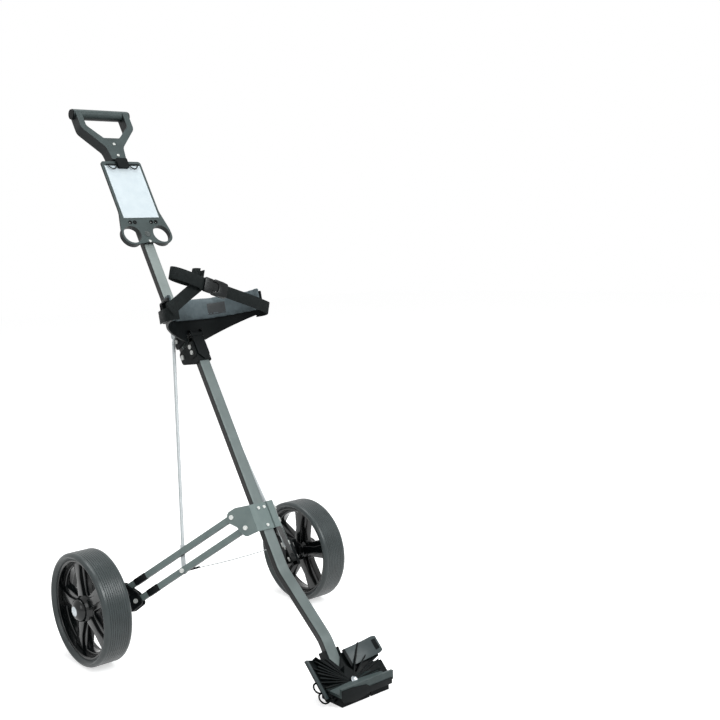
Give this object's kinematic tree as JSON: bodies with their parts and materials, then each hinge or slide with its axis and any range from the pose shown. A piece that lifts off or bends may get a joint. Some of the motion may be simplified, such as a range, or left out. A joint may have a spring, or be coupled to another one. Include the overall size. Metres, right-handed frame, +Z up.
{
  "type": "golf push trolley",
  "caption": "Folding two-wheel pull trolley for a golf bag: leaning mast with D-handle, card holder, strap cradle, parallel folding wheel arms and resting foot.",
  "frame": {"origin": "on the ground under the middle of the resting foot's pads", "axes": "+Z up; the bag's side faces -Y, the wheels stand at +Y; +X to the right seen from in front"},
  "size_m": [0.6316, 0.8401, 1.136],
  "materials": {
    "frame_metal": "satin grey-green anodised",
    "bracket_metal": "satin grey-green",
    "black_plastic": "fine-grained black nylon",
    "gloss_black": "glossy black",
    "grey_plastic": "satin grey",
    "card_face": "pale bare card",
    "webbing": "woven black webbing and cord",
    "foam": "dark slate foam rubber",
    "tyre": "dark grey tread",
    "zinc": "bright zinc",
    "sleeve": "black sleeve"
  },
  "bodies": {
    "mast": {"mast_lower_tube": "frame_metal", "mast_lower_plug": "black_plastic", "mast_foot_tube": "frame_metal", "wheel_bracket": "bracket_metal", "wheel_bracket_rivets": "zinc", "arm_root_bolts_right": "zinc", "arm_root_bolts_left": "zinc", "base_cradle": "black_plastic", "base_ledge": "grey_plastic", "base_feet": "black_plastic", "base_elastic_loops": "webbing", "hinge_lower_bracket": "black_plastic", "hinge_side_straps": "black_plastic", "hinge_lower_bolts": "zinc", "hinge_pivot_bolt": "zinc"},
    "upper_mast": {"mast_upper_tube": "frame_metal", "hinge_upper_bracket": "black_plastic", "hinge_upper_bolts": "zinc", "push_rod_studs": "zinc", "latch_pin": "zinc", "cradle_body": "black_plastic", "cradle_pad": "foam", "strap_right": "webbing", "strap_left": "webbing", "buckle_socket": "black_plastic", "buckle_tongue": "black_plastic", "handle_frame": "black_plastic", "handle_caps": "black_plastic", "handle_bolts": "zinc", "card_plate": "black_plastic", "card_sheet": "card_face", "card_clip_block": "black_plastic"},
    "card_clip": {"card_clip_wire": "zinc"},
    "latch": {"latch_lever": "black_plastic"},
    "tie": {"tie_wire": "zinc", "tie_wire_sleeves": "sleeve"},
    "arm_lower_right": {"arm_lower_right": "frame_metal", "push_rod_bolt_right": "zinc"},
    "arm_upper_right": {"arm_upper_right": "frame_metal"},
    "axle_bracket_right": {"axle_bracket_right": "black_plastic", "axle_bolts_right": "zinc", "stub_axle_right": "zinc"},
    "catch_right": {"catch_right": "zinc"},
    "wheel_right": {"tyre_right": "tyre", "rim_right": "gloss_black", "hub_cap_right": "black_plastic"},
    "push_rod_right": {"push_rod_right": "zinc"},
    "arm_lower_left": {"arm_lower_left": "frame_metal", "push_rod_bolt_left": "zinc"},
    "arm_upper_left": {"arm_upper_left": "frame_metal"},
    "axle_bracket_left": {"axle_bracket_left": "black_plastic", "axle_bolts_left": "zinc", "stub_axle_left": "zinc"},
    "catch_left": {"catch_left": "zinc"},
    "wheel_left": {"tyre_left": "tyre", "rim_left": "gloss_black", "hub_cap_left": "black_plastic"},
    "push_rod_left": {"push_rod_left": "zinc"}
  },
  "joints": [
    {"name": "mast_fold", "type": "hinge", "parent": "mast", "child": "upper_mast", "pos_m": [0, 0.484, 0.59], "axis": [-1, 0, 0], "range_deg": [0, 170]},
    {"name": "latch_swing", "type": "hinge", "parent": "upper_mast", "child": "latch", "pos_m": [0, 0.45204, 0.64016], "axis": [-1, 0, 0], "range_deg": [0, 35]},
    {"name": "card_clip_lift", "type": "hinge", "parent": "upper_mast", "child": "card_clip", "pos_m": [0, 0.70649, 1.0079], "axis": [-1, 0, 0], "range_deg": [0, 70]},
    {"name": "tie_wire_shift", "type": "slide", "parent": "mast", "child": "tie", "axis": [0, -0.8969, -0.4422], "range_m": [0, 0.14117], "deforming": ["tie_wire", "tie_wire_sleeves"]},
    {"name": "arm_lower_right_fold", "type": "hinge", "parent": "mast", "child": "arm_lower_right", "pos_m": [0.03757, 0.25868, 0.26893], "axis": [-0.776, 0.5434, -0.3201], "range_deg": [0, 59.6]},
    {"name": "arm_upper_right_fold", "type": "hinge", "parent": "mast", "child": "arm_upper_right", "pos_m": [0.05001, 0.28706, 0.28695], "axis": [-0.776, 0.5434, -0.3201], "range_deg": [0, 59.6]},
    {"name": "axle_bracket_right_turn", "type": "hinge", "parent": "arm_lower_right", "child": "axle_bracket_right", "pos_m": [0.20381, 0.41039, 0.12342], "axis": [0.776, -0.5434, 0.3201], "range_deg": [0, 59.6]},
    {"name": "push_rod_right_turn", "type": "hinge", "parent": "arm_lower_right", "child": "push_rod_right", "pos_m": [0.12914, 0.35013, 0.18249], "axis": [0.7643, -0.5633, 0.314], "range_deg": [0, 46.38]},
    {"name": "wheel_right_spin", "type": "hinge", "parent": "axle_bracket_right", "child": "wheel_right", "pos_m": [0.2795, 0.468, 0.115], "axis": [1, 0, 0], "continuous": true},
    {"name": "catch_right_slide", "type": "slide", "parent": "axle_bracket_right", "child": "catch_right", "axis": [0, 0, -1], "range_m": [0, 0.004]},
    {"name": "arm_lower_left_fold", "type": "hinge", "parent": "mast", "child": "arm_lower_left", "pos_m": [-0.03757, 0.25868, 0.26893], "axis": [-0.776, -0.5434, 0.3201], "range_deg": [0, 59.6]},
    {"name": "arm_upper_left_fold", "type": "hinge", "parent": "mast", "child": "arm_upper_left", "pos_m": [-0.05001, 0.28706, 0.28695], "axis": [-0.776, -0.5434, 0.3201], "range_deg": [0, 59.6]},
    {"name": "axle_bracket_left_turn", "type": "hinge", "parent": "arm_lower_left", "child": "axle_bracket_left", "pos_m": [-0.20381, 0.41039, 0.12342], "axis": [0.776, 0.5434, -0.3201], "range_deg": [0, 59.6]},
    {"name": "push_rod_left_turn", "type": "hinge", "parent": "arm_lower_left", "child": "push_rod_left", "pos_m": [-0.12914, 0.35013, 0.18249], "axis": [0.7643, 0.5633, -0.314], "range_deg": [0, 46.38]},
    {"name": "wheel_left_spin", "type": "hinge", "parent": "axle_bracket_left", "child": "wheel_left", "pos_m": [-0.2795, 0.468, 0.115], "axis": [1, 0, 0], "continuous": true},
    {"name": "catch_left_slide", "type": "slide", "parent": "axle_bracket_left", "child": "catch_left", "axis": [0, 0, -1], "range_m": [0, 0.004]}
  ],
  "couplings": [
    {"joint": "tie_wire_shift", "follows": "mast_fold", "m_per_rad": 0.04758},
    {"joint": "arm_lower_right_fold", "follows": "mast_fold", "ratio": 0.35059},
    {"joint": "arm_upper_right_fold", "follows": "mast_fold", "ratio": 0.35059},
    {"joint": "axle_bracket_right_turn", "follows": "mast_fold", "ratio": 0.35059},
    {"joint": "push_rod_right_turn", "follows": "mast_fold", "ratio": 0.27284},
    {"joint": "arm_lower_left_fold", "follows": "mast_fold", "ratio": 0.35059},
    {"joint": "arm_upper_left_fold", "follows": "mast_fold", "ratio": 0.35059},
    {"joint": "axle_bracket_left_turn", "follows": "mast_fold", "ratio": 0.35059},
    {"joint": "push_rod_left_turn", "follows": "mast_fold", "ratio": 0.27284}
  ]
}
